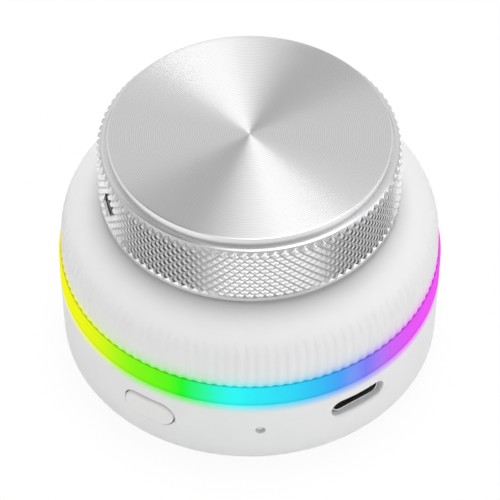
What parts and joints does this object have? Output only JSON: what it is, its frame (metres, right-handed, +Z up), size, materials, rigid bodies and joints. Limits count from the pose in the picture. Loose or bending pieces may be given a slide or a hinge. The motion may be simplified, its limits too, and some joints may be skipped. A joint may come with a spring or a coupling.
{
  "type": "usb volume control knob",
  "caption": "Round desk volume knob: knurled aluminium cap that turns and presses over a white case with a rainbow light ring, a side mode button and a USB-C inlet.",
  "frame": {"origin": "centre of the rubber pad's underside, where the knob rests on the desk", "axes": "+Z up along the axis of the knob, -Y towards the front, where the status light is"},
  "size_m": [0.062, 0.062, 0.0434],
  "materials": {
    "pad": "matte moulded silicone rubber",
    "base": "matte moulded plastic",
    "screws": "zinc plated steel",
    "ballast": "plated pressed steel",
    "housing": "fine matte white plastic",
    "board": "solder mask on glass fibre board",
    "chips": "black moulded package",
    "capacitors": "tan ceramic",
    "inlet_shell": "drawn stainless steel",
    "inlet_tongue": "black moulded insulator",
    "status_led": "clear lens over a white body",
    "light_pipe": "smoked clear plastic",
    "switch": "black moulded case",
    "switch_plunger": "natural nylon",
    "button": "fine matte white plastic",
    "spacers": "natural nylon",
    "lights": "clear resin over a white body",
    "diffuser": "milky diffusing plastic, lit from inside",
    "shell": "fine matte white plastic, fluted",
    "links": "black header with plated pins",
    "encoder_case": "black moulded case",
    "encoder_metal": "zinc die casting",
    "encoder_strap": "bent plated sheet",
    "dome": "stainless spring sheet",
    "pusher": "natural nylon",
    "rotor": "natural acetal",
    "shaft": "turned and drawn",
    "knob": "spun face, diamond knurled rim, clear anodised",
    "insert": "turned",
    "grub": "black oxide"
  },
  "bodies": {
    "case": {"anti_slip_pad": "pad", "base_plate": "base", "case_screws": "screws", "weight_plate": "ballast", "lower_housing": "housing", "main_board": "board", "controller_chip": "chips", "board_capacitors": "capacitors", "usb_c_shell": "inlet_shell", "usb_c_tongue": "inlet_tongue", "status_led": "status_led", "status_light_pipe": "light_pipe", "mode_switch": "switch", "board_spacers": "spacers", "ring_board": "board", "ring_lights": "lights", "light_ring": "diffuser", "upper_shell": "shell", "light_link": "links", "encoder_link": "links", "encoder_board": "board", "encoder_board_screws": "screws", "encoder_can": "encoder_case", "encoder_bushing": "encoder_metal", "encoder_bracket": "encoder_strap", "encoder_washer": "encoder_strap", "encoder_nut": "encoder_strap", "press_dome": "dome"},
    "press": {"press_pusher": "pusher"},
    "knob": {"knob_body": "knob", "knob_insert": "insert", "grub_screw": "grub", "encoder_shaft": "shaft"},
    "rotor": {"encoder_rotor": "rotor"},
    "button": {"mode_button": "button", "mode_plunger": "switch_plunger"}
  },
  "joints": [
    {"name": "knob_press", "type": "slide", "parent": "case", "child": "press", "axis": [0, 0, -1], "range_m": [0, 0.0005], "stiffness_N_per_m": 5000, "springref_m": -0.0005, "deforming": ["press_dome"]},
    {"name": "knob_turn", "type": "hinge", "parent": "press", "child": "knob", "pos_m": [0, 0, 0.0309], "axis": [0, 0, 1], "continuous": true},
    {"name": "rotor_turn", "type": "hinge", "parent": "case", "child": "rotor", "pos_m": [0, 0, 0.0237], "axis": [0, 0, 1], "continuous": true},
    {"name": "button_press", "type": "slide", "parent": "case", "child": "button", "axis": [0.521, 0.8536, 0], "range_m": [0, 0.0004], "stiffness_N_per_m": 3000, "springref_m": -0.0004}
  ],
  "couplings": [
    {"joint": "rotor_turn", "follows": "knob_turn", "ratio": 1}
  ]
}
